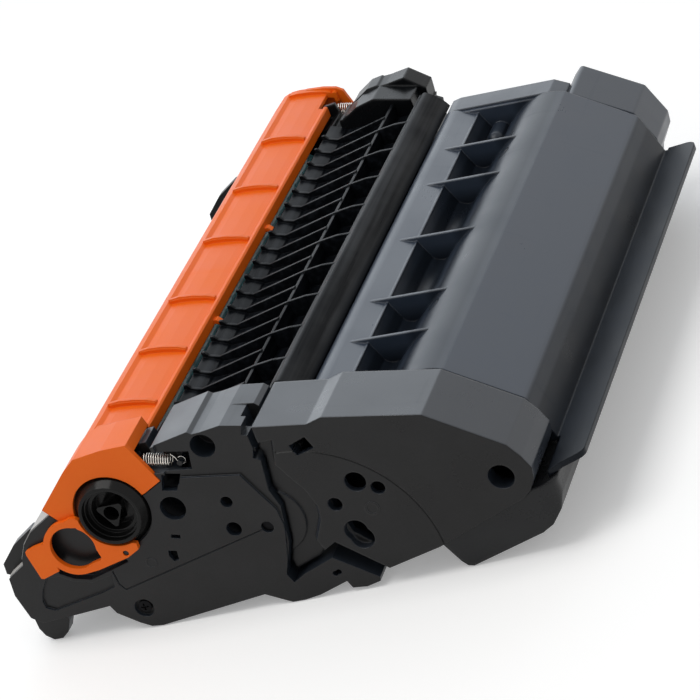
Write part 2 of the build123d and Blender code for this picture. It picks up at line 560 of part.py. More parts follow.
def end_plate(face, direction, depth):
    """The tray-shaped end plate: outer face, rim and bosses."""
    inner = face + direction * face_wall
    back = face + direction * depth
    outline_block(plate_outline, face, back)
    outline_block(lip_rib, face + direction * 6, face + direction * 11)
    outline_block(foot_rib, face + direction * 4, face + direction * 10)
    outline_block(plate_void, inner, back, Mode.SUBTRACT)
    outline_block(block_outline, inner, back)
    round_bar(pivot_x, pivot_z, pivot_radius + 3, inner, back)
    round_bar(pivot_x, pivot_z, pivot_radius, face - direction, back + direction, Mode.SUBTRACT)
    # Slot of the spring, with its two posts
    floor = face + direction * spring_slot_depth
    outline_block(spring_slot, face - direction, floor, Mode.SUBTRACT)
    round_bar(spring_left[0], spring_left[1], spring_post, face + direction * 2.4, floor)
    round_bar(spring_right[0], spring_right[1], spring_post, face + direction * 2.4, floor)
    # Recess of the side screw
    round_bar(screw_x, screw_z, screw_radius + 2.6, inner, face + direction * 10)
    round_bar(screw_x, screw_z, screw_radius + 1.2, face - direction, face + direction * 2, Mode.SUBTRACT)
    round_bar(screw_x, screw_z, screw_radius - 1.2, face, face + direction * 9, Mode.SUBTRACT)


block_outline = [(-49.0, 68.0), (-49.0, 77.0)] + plate_top[5:18] + [(plate_top[17][0], 68.0)]
block_long = [(plate_top[9][0], 69.0)] + plate_top[9:14] + [(3.4, 81.2), (5.0, 79.6), (5.4, 74.0), (2.0, 69.0)]
block_mid = near_face + 17.3
block_end = rail_near - 0.5
bracket_z = 82.9
bracket = [(-46.9, bracket_z), (-58.0, bracket_z), (-71.4, 81.2), (-78.2, 76.0), (-84.0, 70.6), (-93.4, 61.9),
           (-87.4, 54.4), (drum_x, drum_z), (-47.4, 60.6), (-39.1, 64.6)]
with BuildPart() as side_plate_near:
    end_plate(near_face, 1, tray_depth)
    # Long block beside the guide, with a notch, and room for the cover
    outline_block(block_long, block_mid, block_end)
    outline_block([(0.5, 74.0), (8.0, 74.0), (8.0, 84.0), (0.5, 84.0)], block_mid - 9, block_mid, Mode.SUBTRACT)
    outline_block([(-50.5, 72.6), (-42.6, 72.6), (-42.6, 84.0), (-50.5, 84.0)], tray_near - 7, tray_near + 1,
                  Mode.SUBTRACT)
    # Ledge, fine step line and slots of the outer face
    outline_block(ledge, near_face - 1, near_face + ledge_depth, Mode.SUBTRACT)
    outline_block(step_line, near_face - 1, near_face + 0.6, Mode.SUBTRACT)
    for slot in plate_slots:
        outline_block(slot, near_face - 1, near_face + face_wall + 1, Mode.SUBTRACT)
    for arm_hole_x in (15.7, 17.3):
        round_bar(arm_hole_x, 0.28 * arm_hole_x + 4.9, 1.2, near_face - 1, near_face + 8, Mode.SUBTRACT)
    tube(-57.6, 29.2, 2.4, 1.9, near_face - 0.25, near_face + 0.5)
    for x, z, radius in plate_holes:
        round_bar(x, z, radius, near_face - 1, near_face + face_wall + 9, Mode.SUBTRACT)
    # Pocket and peg of the pull ring, with the long shallow recess below it
    outline_block(pocket_back, near_face + face_wall, near_face + pocket_depth + 2)
    round_bar(drum_x, drum_z, collar_radius, near_face - 1, tray_near + 1, Mode.SUBTRACT)
    # Seats of the collar and of the orange bracket
    round_bar(drum_x, drum_z, collar_flare + side_gap, near_face - 1, near_face + bracket_seat, Mode.SUBTRACT)
    outline_block(bracket, near_face - 1, near_face + bracket_seat, Mode.SUBTRACT, shrink=-0.4)
    outline_block(ring_pocket, near_face - 1, near_face + pocket_depth, Mode.SUBTRACT)
    outline_block(long_recess, near_face - 1, near_face + 1.2, Mode.SUBTRACT)
    round_bar(ring_peg_x, ring_peg_z, ring_peg, ring_front + 0.4, near_face + face_wall)
finish("side_plate_near", side_plate_near.part, black)

# The far block steps down to a lower arch on its inner side
arch_split = far_face - spring_slot_depth - 2.2
arch_low = [(-52.0, 71.6), (-45.6, 71.6), (-31.7, 77.1), (-27.6, 79.4), (-18.3, 81.5), (-0.9, 77.2), (-0.7, 69.4),
            (8.0, 69.4), (8.0, 90.0), (-52.0, 90.0)]
arch_left = [(-38.0, 90.0), (-38.0, 75.0), (-36.0, 75.0), (-25.1, 81.2), (-19.6, 82.0), (-19.6, 90.0)]
arch_right = [(-6.2, 90.0), (-6.2, 82.7), (2.6, 75.4), (1.9, 67.8), (8.0, 67.8), (8.0, 90.0)]
with BuildPart() as side_plate_far:
    end_plate(far_face, -1, far_face - tray_far)
    outline_block(arch_low, tray_far - 1, arch_split, Mode.SUBTRACT)
    outline_block(arch_left, tray_far - 1, far_face + 1, Mode.SUBTRACT)
    outline_block(arch_right, tray_far - 1, far_face + 1, Mode.SUBTRACT)
    round_bar(drum_x, drum_z, drum_pin_radius + 3, tray_far + 2, far_face)
    round_bar(drum_x, drum_z, drum_pin_radius, tray_far, far_face + 1, Mode.SUBTRACT)
finish("side_plate_far", side_plate_far.part, black)

with BuildPart() as drum_pin:
    round_bar(drum_x, drum_z, drum_pin_radius, drum_tube_far - 4, far_face + 0.4)
    round_bar(drum_x, drum_z, drum_pin_stub, far_face, far_face + drum_pin_out)
    chamfer(drum_pin.edges().filter_by(GeomType.CIRCLE).group_by(Axis.Y)[-1], 0.6)
finish("drum_pin", drum_pin.part, steel)

with BuildPart() as drum_collar:
    cone_bar(drum_x, drum_z, collar_rim, collar_flare, collar_front, near_face + bracket_seat - running)
    # Room for the pull ring
    with BuildSketch(Plane.XZ.offset(side_gap - ring_front)) as ring_room:
        with BuildLine():
            Polyline(*ring_tail, close=True)
        make_face()
        with Locations((ring_x, ring_z)):
            Circle(ring_outer)
        offset(amount=side_gap, kind=Kind.INTERSECTION, mode=Mode.REPLACE)
        with Locations((drum_x, drum_z)):
            Circle(collar_radius + 0.1, mode=Mode.SUBTRACT)
    extrude(ring_room.sketch, amount=-ring_thickness - 2 * side_gap, mode=Mode.SUBTRACT)
    round_bar(drum_x, drum_z, collar_radius, near_face, tray_near)
    round_bar(drum_x, drum_z, coupling_radius + running, collar_front - 1, tray_near + 1, Mode.SUBTRACT)
finish("drum_collar", drum_collar.part, black)

pin_near = ("pivot_pin_near", near_face + 1.4, shell_near - 1)
pin_far = ("pivot_pin_far", shell_far + 1, far_face - 1.4)
for name, y_from, y_to in (pin_near, pin_far):
    with BuildPart() as pivot_pin:
        round_bar(pivot_x, pivot_z, pivot_radius, y_from, y_to)
    finish(name, pivot_pin.part, steel)

# Waste bin: a trough under and in front of the drum
bin_front = [(-90.5, 59.3), (-102.8, 52.8), (-107.7, 48.0), (-111.6, 41.4), (-112.3, 38.6),
             (-120.9, 33.9), (-121.8, 25.7), (-119.4, 14.2), (-115.1, 10.8), (-101.5, 11.7), (-84.0, 13.1)]
bin_shelf_z = 44.2
bin_right = -84.0
bin_slope = (bin_right - 5.0, 35.0)
bin_shelf = (bin_right - 7.0, bin_shelf_z)
bin_outline = bin_front + [(bin_right, 29.0), bin_slope, bin_shelf]
bin_void = [(bin_right, 57.0), (-91.5, 56.6), (-101.4, 50.8), (-105.7, 46.4), (-109.6, 40.0), (-110.4, 37.0),
            (-118.8, 32.2), (-119.5, 25.7), (-117.4, 15.6), (-114.6, 13.1), (-101.5, 14.0),
            (bin_right - wall, 15.3), (bin_right - wall, 28.1), (bin_slope[0] - wall, 34.0),
            (bin_shelf[0] - wall, bin_shelf_z), (bin_right, bin_shelf_z)]
with BuildPart() as waste_bin:
    outline_block(bin_outline, tray_near, tray_far)
    outline_block(bin_void, tray_near + wall, tray_far - wall, Mode.SUBTRACT)
finish("waste_bin", waste_bin.part, black)
blade_seat = (bin_shelf[0] - 0.3, bin_shelf_z + 1.2)
blade_edge = (-83.1, bin_shelf_z + 4.6)
blade_tip = (drum_x - drum_radius * 0.9667, drum_z - drum_radius * 0.3067)
with BuildPart() as blade_bracket:
    outline_block([(bin_shelf[0] - 12, bin_shelf_z), bin_shelf, (blade_edge[0] + 0.5, blade_edge[1] - 1.2),
                   blade_edge, blade_seat, (bin_shelf[0] - 12, bin_shelf_z + 1.2)],
                  tray_near + 12, tray_far - 12)
finish("blade_bracket", blade_bracket.part, steel)
with BuildPart() as cleaning_blade:
    outline_block([blade_seat, blade_edge, blade_tip, (blade_tip[0] - 0.6, blade_tip[1] + 1.45),
                   (blade_seat[0] - 0.3, blade_seat[1] + 1.6)],
                  tray_near + 14, tray_far - 14)
finish("cleaning_blade", cleaning_blade.part, (0.6, 0.5, 0.3))

# Rib guide with its cross bar
rib_foot = rail_floor_z + 0.4
with BuildPart() as guide_rail:
    outline_block([(rail_left, rail_floor_z), (4.0, rail_floor_z), (4.0, rail_floor_z + rail_floor),
                   (rail_left, rail_floor_z + rail_floor)], rail_near, tray_far)
    # Wedge beside the drum
    outline_block([(rail_left, rail_floor_z), (rib_valley[0] + 1.6, rib_foot), (rib_valley[0], rib_valley[1] - 1.5),
                   (rail_left, 73.6)], rail_near, tray_far)
    # Web along the middle
    outline_block([(web_x - 0.7, rib_foot), (web_x + 0.7, rib_foot), (web_x + 0.7, 76.8), (web_x - 0.7, 76.8)],
                  rail_near, tray_far)
    # Cross bar with the rounded wing beside the hopper
    bar_foot = [(bar_top[0][0], rail_floor_z), (bar_top[0][0] - 1.2, rail_floor_z)]
    curved_block(bar_top, bar_inner + bar_foot, bar_near, tray_far)
    outline_block([(bar_top[0][0] - 2.4, rail_floor_z), bar_foot[0], bar_top[0], (bar_top[0][0] - 1.2, 78.0)],
                  rail_near, tray_far)
    # Long and short ribs in turn
    for number in range(rib_count):
        station = rib_first + number * rib_pitch
        if number % 2:
            outline_block(rib_top + rib_long + [(rib_long[1][0], rib_foot), (rail_left, rib_foot)],
                          station - rib_thickness / 2, station + rib_thickness / 2)
        else:
            outline_block(rib_top + [(web_x, rib_foot), (rail_left, rib_foot)],
                          station - rib_thickness / 2, station + rib_thickness / 2)
finish("guide_rail", guide_rail.part, black)

# Charge roller bearings
holder_foot = [bin_slope, (charge_x - 5.5, bin_slope[1]), (charge_x - 5.5, bin_slope[1] + 5.4),
               between(bin_slope, bin_shelf, 5.4 / (bin_shelf[1] - bin_slope[1]))]
with BuildPart() as charge_holder_near:
    tube(charge_x, charge_z, charge_journal + 3, charge_journal + running, tray_near, charge_near - side_gap)
    outline_block(holder_foot, tray_near, charge_near - 3)
finish("charge_holder_near", charge_holder_near.part, (0.9, 0.9, 0.85))
with BuildPart() as charge_holder_far:
    tube(charge_x, charge_z, charge_journal + 3, charge_journal + running, charge_far + side_gap, tray_far)
    outline_block(holder_foot, charge_far + 3, tray_far)
finish("charge_holder_far", charge_holder_far.part, (0.9, 0.9, 0.85))

# Orange cover over the drum, with a hood and a bracket at each end
cover_skin = 1.8
bracket_thickness = 2.0
bracket_back = near_face + bracket_seat - 0.1
bracket_front = near_face - 0.1
hood_end = near_face + 22.0
cover_far = far_face + 6.2
cover_right = -45.8
cover_section = [(cover_right, 73.4), (cover_right, 77.6), (-46.5, 78.3), (-47.6, 78.3), (-48.5, 77.5), (-52.0, 78.5),
                 (-58.0, 79.6), (-64.0, 80.2), (-67.4, 80.1), (-69.2, 81.3), (-72.4, 80.2), (-79.5, 74.3),
                 (-86.5, 67.8), (-93.0, 61.4)]
cover_inner = [(-91.6, 60.2), (-85.2, 66.4), (-78.3, 72.9), (-71.4, 77.8), (-67.6, 78.3), (-64.0, 78.4),
               (-58.0, 77.8), (-52.0, 76.7), (-48.6, 75.8), (-47.4, 75.4), (-47.4, 73.4)]
cover_rib = [(-48.0, 77.0), (-48.4, 78.6), (-52.0, 80.0), (-58.0, 81.2), (-64.0, 81.8), (-68.2, 81.6),
             (-69.0, 80.4), (-67.4, 79.4), (-58.0, 78.8)]
cover_rib_crest = [(-47.6, 77.0), (-48.2, 79.0), (-52.0, 80.5), (-58.0, 81.8), (-64.0, 82.4), (-68.8, 82.0),
                   (-69.4, 80.4), (-67.4, 79.4), (-58.0, 78.8)]
hood_outer = [(-45.6, 78.6), (-46.9, 82.9), (-58.0, 82.9), (-71.4, 81.2), (-78.2, 76.0), (-84.0, 70.6), (-93.4, 61.9)]
hood_inner = [(-91.9, 60.5), (-82.6, 69.2), (-76.9, 74.5), (-70.6, 79.2), (-58.0, 80.9), (-48.2, 80.9),
              (-47.4, 78.6)]
bracket_opening = collar_flare + 0.2
bracket_far = [(-42.9, 77.3), (-46.0, 79.4), (-52.0, 80.8), (-60.0, 81.6), (-68.5, 80.8), (-78.2, 74.0), (-84.0, 68.4),
               (-93.4, 60.6), (-87.4, 54.4), (drum_x, drum_z), (-47.4, 60.6), (-39.1, 64.6)]
cover_rib_stations = (-119.0, -76.8, -34.0, 18.0, 65.5, 113.0)
cover_hooks = (-47.6, 33.0)
with BuildPart() as drum_cover:
    outline_block(cover_section + cover_inner, hood_end, cover_far)
    outline_block(hood_outer + hood_inner, bracket_back, hood_end)
    outline_block(cover_rib, hood_end, hood_end + 2)
    outline_block(cover_rib, cover_far - 4, cover_far)
    outline_block(bracket, bracket_front, bracket_back)
    outline_block(bracket_far, cover_far - bracket_thickness, cover_far)
    for y_from, y_to in ((bracket_front, bracket_back), (cover_far - bracket_thickness, cover_far)):
        round_bar(drum_x, drum_z, bracket_opening, y_from - 1, y_to + 1, Mode.SUBTRACT)
    # The panel is narrow over the far spring
    outline_block([(-50.4, 72.0), (-42.0, 72.0), (-42.0, 81.5), (-50.4, 81.5)],
                  arch_split - 1.5, cover_far - 4, Mode.SUBTRACT)
    for station in cover_rib_stations:
        outline_block(cover_rib, station - 1.4, station + 1.4)
        outline_block(cover_rib_crest, station - 0.8, station + 0.8)
    # Hooks that hold the right edge on the guide
    for station in cover_hooks:
        outline_block([(cover_right - 1, 73.6), (cover_right - 1, 75.2), (cover_right + 1.4, 75.2),
                       (rail_left - 0.4, 73.4), (rail_left - 0.8, 72.6), (cover_right + 0.8, 73.4)],
                      station - 1.6, station + 1.6)
finish("drum_cover", drum_cover.part, orange)

# Pull ring: a flat ring with a grip tab and a tail that snaps on a peg
ring_tab = [(-96.6, 48.4), (-103.6, 47.0), (-107.2, 45.8), (-107.4, 44.4), (-105.6, 32.6), (-104.4, 32.2), (-96.6, 34.4)]
with BuildPart() as pull_ring:
    round_bar(ring_x, ring_z, ring_outer, ring_front, ring_back)
    outline_block(ring_tail, ring_front, ring_back)
    outline_block(ring_tab, ring_front, ring_back)
    with BuildSketch(Plane.XZ.offset(-ring_front + 1)) as ring_hole:
        with Locations((ring_x, ring_z)):
            Circle(ring_inner)
        with BuildLine():
            Polyline((ring_x, ring_z + ring_inner - 0.1), (-81.4, 52.4), (-77.4, 45.4), (-76.2, 37.0),
                     (-77.0, 36.0), (ring_x, ring_z - ring_inner + 0.1), close=True)
        make_face()
    extrude(ring_hole.sketch, amount=-ring_thickness - 2, mode=Mode.SUBTRACT)
    round_bar(ring_peg_x, ring_peg_z, ring_peg + 0.15, ring_front - 1, ring_back + 1, Mode.SUBTRACT)
    round_bar(drum_x, drum_z, collar_radius + side_gap, ring_front - 1, ring_back + 1, Mode.SUBTRACT)
finish("pull_ring", pull_ring.part, orange)

# Bare film on the front wall of the bin, cut out round the two lips
film_inner = [between(bin_front[0], bin_front[1], 0.08)] + bin_front[1:5]
film_inner += [between(bin_front[4], bin_front[5], 0.95)]
film_outer = [(-120.72, 34.48), (-112.66, 38.88), (-112.0, 41.52), (-108.05, 48.2), (-103.04, 53.14), (-91.7, 59.13)]
with BuildPart() as front_film:
    outline_block(film_inner + film_outer, near_face + 1, far_face - 1)
    outline_block(lip_rib, near_face + 6 - side_gap, near_face + 11 + side_gap, Mode.SUBTRACT)
    outline_block(lip_rib, far_face - 11 - side_gap, far_face - 6 + side_gap, Mode.SUBTRACT)
finish("front_film", front_film.part, (0.7, 0.7, 0.68))

# Springs between the halves, plain here, with an eye at each end
spring_run = (spring_right[0] - spring_left[0], spring_right[1] - spring_left[1])
spring_length = (spring_run[0] ** 2 + spring_run[1] ** 2) ** 0.5
spring_eye = spring_post + 0.9
spring_neck = 3.8
for name, y_mid in (("spring_near", spring_y), ("spring_far", spring_far_y)):
    side = Plane(origin=(spring_left[0], y_mid, spring_left[1]), x_dir=(spring_run[0], 0, spring_run[1]),
                 z_dir=(0, -1, 0))
    with BuildPart() as spring:
        with BuildSketch(side) as eyes:
            with Locations((0, 0), (spring_length, 0)):
                Circle(spring_eye)
            with BuildLine():
                Polyline((0, spring_eye), (0.6, spring_eye - 1), (spring_neck + 0.4, 1.4),
                         (spring_neck + 0.4, 2.0), close=True)
            make_face()
            with BuildLine():
                Polyline((spring_length, spring_eye), (spring_length - 0.6, spring_eye - 1),
                         (spring_length - spring_neck - 0.4, 1.4), (spring_length - spring_neck - 0.4, 2.0), close=True)
            make_face()
            with Locations((0, 0), (spring_length, 0)):
                Circle(spring_post + 0.1, mode=Mode.SUBTRACT)
        extrude(amount=0.4, both=True)
        coil_start = side.from_local_coords(Vector(spring_neck, 0, 0))
        with BuildSketch(Plane(origin=coil_start, z_dir=(spring_run[0], 0, spring_run[1]))):
            Circle(spring_radius)
            Circle(spring_radius - 0.9, mode=Mode.SUBTRACT)
        extrude(amount=spring_length - 2 * spring_neck)
    finish(name, spring.part, steel)

# Side screws
with BuildPart() as side_screws:
    for face, direction in ((near_face, 1), (far_face, -1)):
        round_bar(screw_x, screw_z, screw_radius, face + direction * 0.4, face + direction * 2)
        round_bar(screw_x, screw_z, screw_radius - 1.2, face + direction * 2, face + direction * 8)
        round_bar(screw_x, screw_z, 1.0, face + direction * 0.4, face + direction * 1.4, Mode.SUBTRACT)
finish("side_screws", side_screws.part, steel)
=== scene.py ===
"""Toner cartridge: finishes, fine pieces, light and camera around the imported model."""

import bpy
import numpy as np
from mathutils import Matrix


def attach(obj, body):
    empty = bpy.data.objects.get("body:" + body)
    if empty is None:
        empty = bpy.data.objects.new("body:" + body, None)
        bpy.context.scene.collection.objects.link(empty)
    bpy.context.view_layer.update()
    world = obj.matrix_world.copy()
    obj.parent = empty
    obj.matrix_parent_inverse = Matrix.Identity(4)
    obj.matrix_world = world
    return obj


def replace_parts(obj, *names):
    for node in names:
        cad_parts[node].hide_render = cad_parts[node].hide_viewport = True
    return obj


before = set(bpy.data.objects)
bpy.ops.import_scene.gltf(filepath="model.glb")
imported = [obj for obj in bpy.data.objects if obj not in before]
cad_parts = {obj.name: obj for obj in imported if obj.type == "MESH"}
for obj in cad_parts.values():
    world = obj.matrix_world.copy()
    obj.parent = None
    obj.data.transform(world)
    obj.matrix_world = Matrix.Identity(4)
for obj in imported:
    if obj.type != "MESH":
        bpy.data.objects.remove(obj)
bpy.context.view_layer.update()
MM = 0.001


# Shader writing
class Value:
    """A number that varies over a surface, used in sums like any number."""

    def __init__(self, nodes, socket):
        self.nodes = nodes
        self.socket = socket

    def _maths(self, operation, first, second):
        made = self.nodes.node("ShaderNodeMath", {"operation": operation}, {0: first, 1: second})
        return Value(self.nodes, made.outputs[0])

    def __add__(self, other):
        return self._maths("ADD", self, other)

    def __sub__(self, other):
        return self._maths("SUBTRACT", self, other)

    def __rsub__(self, other):
        return self._maths("SUBTRACT", other, self)

    def __mul__(self, other):
        return self._maths("MULTIPLY", self, other)

    __radd__ = __add__
    __rmul__ = __mul__


class Nodes:
    """The nodes of a material or a world under construction."""

    def __init__(self, owner):
        self.owner = owner
        owner.use_nodes = True
        self.tree = owner.node_tree
        self.tree.nodes.clear()

    def node(self, kind, settings=None, inputs=None):
        """One node: its settings first, then the values or links of its sockets."""
        made = self.tree.nodes.new(kind)
        for key, value in (settings or {}).items():
            setattr(made, key, value)
        for key, value in (inputs or {}).items():
            socket = made.inputs[key]
            if isinstance(value, Value):
                value = value.socket
            if isinstance(value, bpy.types.NodeSocket):
                self.tree.links.new(value, socket)
            elif socket.type == "RGBA":
                socket.default_value = (*value, 1.0)
            else:
                socket.default_value = value
        return made

    def band(self, value, low, high, to_low=0.0, to_high=1.0):
        """A value taken from one range to another and held at its ends."""
        ends = {"From Min": low, "From Max": high, "To Min": to_low, "To Max": to_high}
        made = self.node("ShaderNodeMapRange", {"clamp": True}, {"Value": value, **ends})
        return Value(self, made.outputs[0])

    def blend(self, share, first, second):
        """A colour between two colours."""
        made = self.node("ShaderNodeMix", {"data_type": "RGBA"}, {"Factor": share, 6: first, 7: second})
        return made.outputs[2]

    def looked_at(self):
        """1 for rays that look here, straight, mirrored or through glass, 0 for those that gather light."""
        rays = self.node("ShaderNodeLightPath").outputs
        count = Value(self, rays["Is Camera Ray"]) + Value(self, rays["Is Glossy Ray"])
        return self.band(count + Value(self, rays["Is Transmission Ray"]), 0.0, 1.0)


class Finish(Nodes):
    """A material under construction, with its object coordinates ready."""

    def __init__(self, name):
        super().__init__(bpy.data.materials.new(name))
        self.place = self.node("ShaderNodeTexCoord").outputs["Object"]

    def noise(self, per_metre, detail=3.0, roughness=0.55, stretch=None):
        """Soft random values from 0 to 1, with a given number of lumps per metre."""
        place = self.place
        if stretch:
            place = self.node("ShaderNodeMapping", None, {"Vector": place, "Scale": stretch}).outputs[0]
        lumps = {"Scale": per_metre, "Detail": detail, "Roughness": roughness}
        made = self.node("ShaderNodeTexNoise", None, {"Vector": place, **lumps})
        return Value(self, made.outputs[0])

    def hairs(self, stretch, offset):
        """Hair-thin lines in one direction: 1 where stretched noise rises to a level it seldom reaches."""
        turn = (0.2, 0.3, 0.5 + offset)
        mapping = {"Vector": self.place, "Location": (offset,) * 3, "Rotation": turn, "Scale": stretch}
        place = self.node("ShaderNodeMapping", None, mapping).outputs[0]
        field = {"Vector": place, "Scale": 1.0, "Detail": 1.0, "Distortion": 0.4}
        made = self.node("ShaderNodeTexNoise", None, field)
        return self.band(Value(self, made.outputs[0]), 0.71, 0.74)

    def scratches(self):
        """Sparse hair-thin lines in two directions, 1 on a line and 0 beside it."""
        return self.hairs((9.0, 260.0, 60.0), 0.0) + self.hairs((330.0, 14.0, 90.0), 7.0)

    def reach(self, x, y, z):
        """The distance in metres from a point in millimetres; a side given as None isn't counted."""
        keep = tuple(0.0 if side is None else 1.0 for side in (x, y, z))
        spot = tuple(0.0 if side is None else side * MM for side in (x, y, z))
        flat = self.node("ShaderNodeVectorMath", {"operation": "MULTIPLY"}, {0: self.place, 1: keep})
        made = self.node("ShaderNodeVectorMath", {"operation": "DISTANCE"}, {0: flat.outputs[0], 1: spot})
        return Value(self, made.outputs["Value"])

    def side(self, axis):
        """One coordinate of the surface point, in metres."""
        return Value(self, self.node("ShaderNodeSeparateXYZ", None, {"Vector": self.place}).outputs[axis])

    def turned(self, axis):
        """One part of the direction that a face is turned to, from -1 to 1."""
        way = self.node("ShaderNodeTexCoord").outputs["Normal"]
        return Value(self, self.node("ShaderNodeSeparateXYZ", None, {"Vector": way}).outputs[axis])

    def groove(self, value, middle, half_width):
        """1 at a middle value, falling evenly to 0 at a half width on both sides."""
        rise = self.band(value, middle - half_width, middle)
        return rise - self.band(value, middle, middle + half_width)

    def relief(self, height, edge=0.0):
        """A normal from a height in metres, on edges softened by a given radius."""
        inputs = {"Height": height, "Distance": 1.0, "Strength": 1.0}
        if edge:
            soft = self.node("ShaderNodeBevel", {"samples": 6}, {"Radius": edge})
            inputs["Normal"] = soft.outputs[0]
        return self.node("ShaderNodeBump", None, inputs).outputs[0]

    def shader(self, sockets):
        """One surface shader."""
        return self.node("ShaderNodeBsdfPrincipled", None, sockets).outputs[0]

    def close(self, sockets):
        """The material, ended by one shader."""
        self.node("ShaderNodeOutputMaterial", None, {"Surface": self.shader(sockets)})
        return self.owner

    def close_two(self, share, first, second):
        """The material, ended by two shaders, the second one by a share that varies over the surface."""
        shaders = {0: share, 1: self.shader(first), 2: self.shader(second)}
        mixed = self.node("ShaderNodeMixShader", None, shaders)
        self.node("ShaderNodeOutputMaterial", None, {"Surface": mixed.outputs[0]})
        return self.owner


def times(factor, colour):
    """A colour made lighter or darker by a factor."""
    return tuple(factor * part for part in colour)


# Kinds of finish
def moulded(name, colour, dust, gloss, grain=0.006, edge=0.5, level=0.4, marks=None, painted_shade=None):
    """Moulded plastic: fine spark-eroded grain, faint handling marks and a little pale dust.

    The grain's height and the radius of the soft edges are in millimetres.
    marks, where it is given, is the function that gives the relief of a piece's own marks.
    Painted shade, where given, is the function that finds the shaded faces, then their colour and level.
    """
    scratch_depth = 0.002 * MM
    finish = Finish(name)
    clouds = finish.noise(per_metre=38.0, detail=4.0)
    rubs = finish.noise(per_metre=900.0, detail=2.0, stretch=(1.0, 0.12, 1.0))
    fine = finish.noise(per_metre=5200.0, detail=2.0)
    scratches = finish.scratches()
    dusty = finish.band(clouds * 0.75 + rubs * 0.25, 0.42, 0.68) * 0.6
    rough = finish.band(clouds, 0.3, 0.7, gloss - 0.05, gloss + 0.07) + rubs * 0.05 + scratches * 0.04
    height = fine * (grain * MM) - scratches * scratch_depth
    if marks:
        height = height + marks(finish)
    bright = {
        "Base Color": finish.blend(dusty, colour, dust),
        "Roughness": rough,
        "Normal": finish.relief(height, edge * MM),
        "Specular IOR Level": level,
    }
    if not painted_shade:
        return finish.close(bright)
    # Painted shade: a darker, less glossy copy of the moulding on the faces that are found.
    find, shade_colour, shade_level = painted_shade
    shaded_base = finish.blend(dusty, shade_colour, times(2.0, shade_colour))
    dull = {**bright, "Base Color": shaded_base, "Specular IOR Level": shade_level}
    return finish.close_two(find(finish), bright, dull)


def streaked(name, colour, gloss, top_low, top_high):
    """Dark moulding with painted reflection in lighter streaky lines along its length, and a painted sheen
    in places near its top.

    The top begins between two heights, in millimetres.
    """
    grain = 0.004 * MM
    edge = 0.6 * MM
    finish = Finish(name)
    reflection_streaks = finish.noise(per_metre=330.0, detail=2.0, roughness=0.5, stretch=(1.0, 0.025, 1.0))
    clouds = finish.noise(per_metre=30.0)
    fine = finish.noise(per_metre=5200.0, detail=2.0)
    on_top = finish.band(finish.side("Z"), top_low * MM, top_high * MM)
    # Painted sheen near the top, and painted reflection as lighter lengthwise lines in the colour.
    painted_sheen = finish.band(reflection_streaks * 0.6 + clouds * 0.4, 0.42, 0.66) * on_top * 0.55
    dull = {
        "Base Color": finish.blend(finish.band(reflection_streaks, 0.5, 0.7), colour, times(2.2, colour)),
        "Roughness": finish.band(reflection_streaks, 0.3, 0.7, gloss - 0.08, gloss + 0.12),
        "Normal": finish.relief(fine * grain, edge),
        "Specular IOR Level": 0.04,
    }
    return finish.close_two(painted_sheen, dull, {**dull, "Specular IOR Level": 0.30})


def metal(name, colour, gloss, edge=0.2):
    """Steel with faint drawing lines along its length; the radius of its soft edges is in millimetres."""
    line_height = 0.003 * MM
    finish = Finish(name)
    lines = finish.noise(per_metre=2600.0, stretch=(1.0, 0.05, 1.0))
    clouds = finish.noise(per_metre=120.0)
    return finish.close({
        "Base Color": finish.blend(finish.band(clouds, 0.35, 0.7), colour, times(0.72, colour)),
        "Roughness": finish.band(lines, 0.3, 0.7, gloss - 0.06, gloss + 0.1),
        "Normal": finish.relief(lines * line_height, edge * MM),
        "Metallic": 1.0,
    })


def coated(name, colour, gloss):
    """A smooth coated cylinder with faint rings of wear round it."""
    finish = Finish(name)
    rings = finish.noise(per_metre=900.0, stretch=(0.02, 1.0, 0.02))
    return finish.close({
        "Base Color": finish.blend(finish.band(rings, 0.35, 0.7), colour, times(0.86, colour)),
        "Roughness": finish.band(rings, 0.3, 0.7, gloss - 0.03, gloss + 0.05),
        "Coat Weight": 0.4,
    })


def rubber(name, colour, gloss):
    """Dull rubber with a soft grain."""
    grain_height = 0.012 * MM
    finish = Finish(name)
    grain = finish.noise(per_metre=3200.0)
    return finish.close({
        "Base Color": finish.blend(grain, colour, times(1.3, colour)),
        "Roughness": finish.band(grain, 0.3, 0.7, gloss - 0.05, gloss + 0.08),
        "Normal": finish.relief(grain * grain_height),
    })


def paper(name, colour, roughness):
    """An even, dull white surface for the floor, lifted to white where it is looked at."""
    lift = 0.27
    finish = Finish(name)
    shade = finish.noise(per_metre=3.0, detail=1.0)
    return finish.close({
        "Base Color": finish.blend(shade, colour, times(0.98, colour)),
        "Roughness": roughness,
        "Emission Color": finish.blend(finish.looked_at(), (0.0, 0.0, 0.0), (lift, lift, lift)),
        "Emission Strength": 1.0,
    })


# Marks of the mouldings, and the faces that get painted shade
def arc_groove(finish):
    """The relief of the near end cap: a shallow groove on its face, an arc to the right of the middle."""
    centre_x = 9.8
    centre_z = 12.8
    radius = 54.3 * MM
    half_width = 0.6 * MM
    depth = 1.2 * MM
    on_face = finish.band(finish.side("Y"), -150.0 * MM, -149.5 * MM, 1.0, 0.0)
    on_right = finish.band(finish.side("X"), 12.0 * MM, 12.5 * MM)
    arc = finish.groove(finish.reach(centre_x, None, centre_z), radius, half_width)
    return arc * on_face * on_right * -depth


def ejector_rings(finish):
    """1 on the rims of the two round ejector marks on the hopper's flank, and 0 beside them."""
    radius = 2.8 * MM
    half_width = 0.8 * MM
    far = finish.reach(56.1, 68.8, 68.8)
    near = finish.reach(55.7, -64.2, 68.6)
    return finish.groove(far, radius, half_width) + finish.groove(near, radius, half_width)


def ejector_marks(finish):
    """The relief of the hopper's shell: the rims of its ejector marks."""
    depth = 0.4 * MM
    return ejector_rings(finish) * -depth


def near_end(finish):
    """Painted shade share: 1 on faces turned to the near end, and 0 on tops, bottoms and sides."""
    return finish.band(finish.turned("Y"), -0.90, -0.45, 1.0, 0.0)


